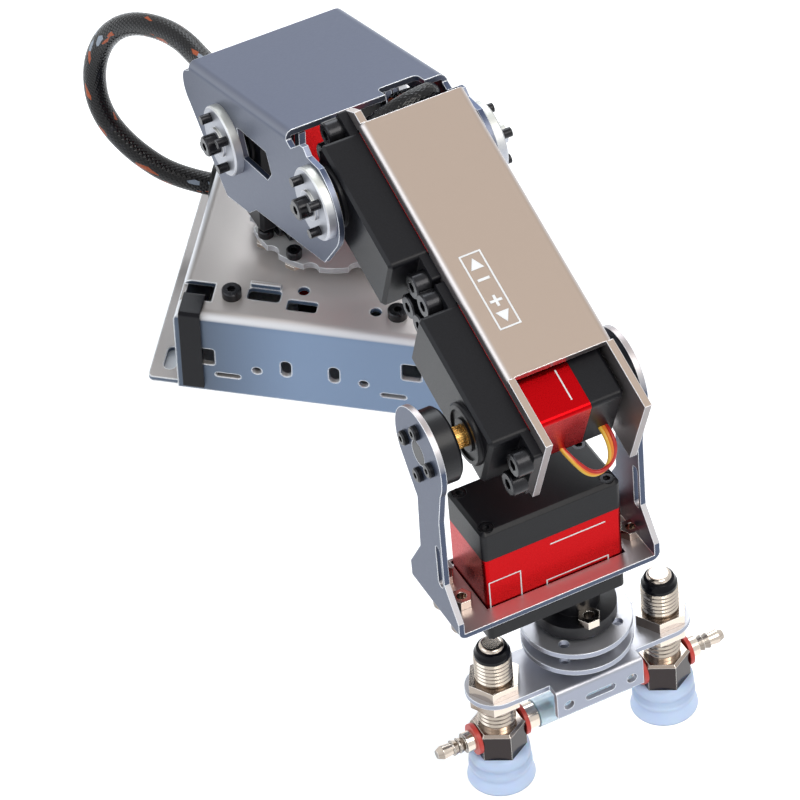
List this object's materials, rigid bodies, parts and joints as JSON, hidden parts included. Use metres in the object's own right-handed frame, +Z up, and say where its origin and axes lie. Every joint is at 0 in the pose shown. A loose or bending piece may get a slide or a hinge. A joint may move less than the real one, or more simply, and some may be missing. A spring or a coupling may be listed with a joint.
{
  "type": "robot_arm",
  "caption": "Small servo robot arm in folded sheet aluminium with a twin suction-cup tool on a slotted bolt-down base",
  "frame": {"origin": "on the yaw axis, in the plane of the base's feet, at the middle of the four bolt slots", "axes": "+Z up along the yaw axis, -Y the slotted front wall of the base, +X the base's right; at rest the arm is turned 37.6 degrees towards +X from the front"},
  "size_m": [0.1999, 0.1829, 0.1594],
  "materials": {
    "blue_grey_alloy": "satin anodised blue-grey sheet aluminium with bright cut edges",
    "champagne_alloy": "satin anodised champagne sheet aluminium with bright cut edges",
    "bright_alloy": "brushed sheet aluminium",
    "servo_black": "fine-textured black moulded plastic",
    "servo_red": "red anodised aluminium, satin",
    "brass_spline": "machined brass",
    "horn_black": "black moulded nylon",
    "zinc_disc": "zinc-plated turned steel",
    "black_screw": "black-oxide steel",
    "nickel": "nickel-plated brass",
    "red_seal": "red fibre sealing washer",
    "cup_silicone": "translucent pale blue silicone",
    "clear_tube": "clear bluish polyurethane tube",
    "cable_black": "smooth black cable jacket",
    "lead_orange": "orange, red and brown lead insulation",
    "clip_black": "glossy black moulded nylon"
  },
  "bodies": {
    "base": {"base_cover": "blue_grey_alloy", "edge_strap": "clip_black", "yaw_gear_case": "servo_black", "yaw_motor_case": "servo_red", "yaw_rear_cover": "servo_black", "base_screws": "black_screw", "cable_tail": "cable_black", "cable_gland": "cable_black"},
    "turret": {"yaw_spline": "brass_spline", "turret_plate": "blue_grey_alloy", "turret_horn": "horn_black", "turret_screws": "black_screw", "turret_nuts": "nickel", "shoulder_bracket": "blue_grey_alloy", "shoulder_gear_case": "servo_black", "shoulder_motor_case": "servo_red", "shoulder_rear_cover": "servo_black", "shoulder_screws": "black_screw", "cable_loop": "cable_black"},
    "upper_arm": {"shoulder_spline": "brass_spline", "elbow_spline": "brass_spline", "upper_arm_channel": "blue_grey_alloy", "shoulder_disc": "zinc_disc", "shoulder_idler": "zinc_disc", "elbow_disc": "zinc_disc", "elbow_idler": "zinc_disc", "arm_studs": "zinc_disc", "disc_screws": "black_screw", "cable_lead": "cable_black", "cable_clamp": "clip_black"},
    "forearm": {"forearm_channel": "champagne_alloy", "elbow_gear_case": "servo_black", "elbow_motor_case": "servo_red", "elbow_rear_cover": "servo_black", "wrist_gear_case": "servo_black", "wrist_motor_case": "servo_red", "wrist_rear_cover": "servo_black", "forearm_screws": "black_screw", "servo_lead": "lead_orange"},
    "wrist": {"wrist_spline": "brass_spline", "wrist_bracket": "champagne_alloy", "wrist_horn": "horn_black", "wrist_pivot": "zinc_disc", "tool_gear_case": "servo_black", "tool_motor_case": "servo_red", "tool_rear_cover": "servo_black", "wrist_screws": "black_screw", "bracket_bolts": "black_screw"},
    "tool": {"tool_spline": "brass_spline", "tool_horn": "horn_black", "round_plates": "bright_alloy", "tool_spacers": "bright_alloy", "cross_bracket": "bright_alloy", "stems": "nickel", "stem_nuts": "nickel", "manifolds": "nickel", "hose_barbs": "nickel", "seal_washers": "red_seal", "suction_cups": "cup_silicone", "vacuum_tube": "clear_tube"}
  },
  "joints": [
    {"name": "base_yaw", "type": "hinge", "parent": "base", "child": "turret", "pos_m": [0, 0, 0.03495], "axis": [0, 0, 1], "range_deg": [-90, 90]},
    {"name": "shoulder_pitch", "type": "hinge", "parent": "turret", "child": "upper_arm", "pos_m": [-0.00177, 0.0023, 0.0746], "axis": [-0.7923, -0.6101, 0], "range_deg": [-15, 45]},
    {"name": "elbow_pitch", "type": "hinge", "parent": "upper_arm", "child": "forearm", "pos_m": [0.03291, -0.04274, 0.10161], "axis": [-0.7923, -0.6101, 0], "range_deg": [-15, 60]},
    {"name": "wrist_pitch", "type": "hinge", "parent": "forearm", "child": "wrist", "pos_m": [0.07761, -0.10078, 0.08294], "axis": [-0.7923, -0.6101, 0], "range_deg": [-25, 60]},
    {"name": "tool_rotation", "type": "hinge", "parent": "wrist", "child": "tool", "pos_m": [0.0833, -0.10653, 0.01844], "axis": [0.0754, -0.0979, -0.9923], "range_deg": [-90, 90]}
  ]
}
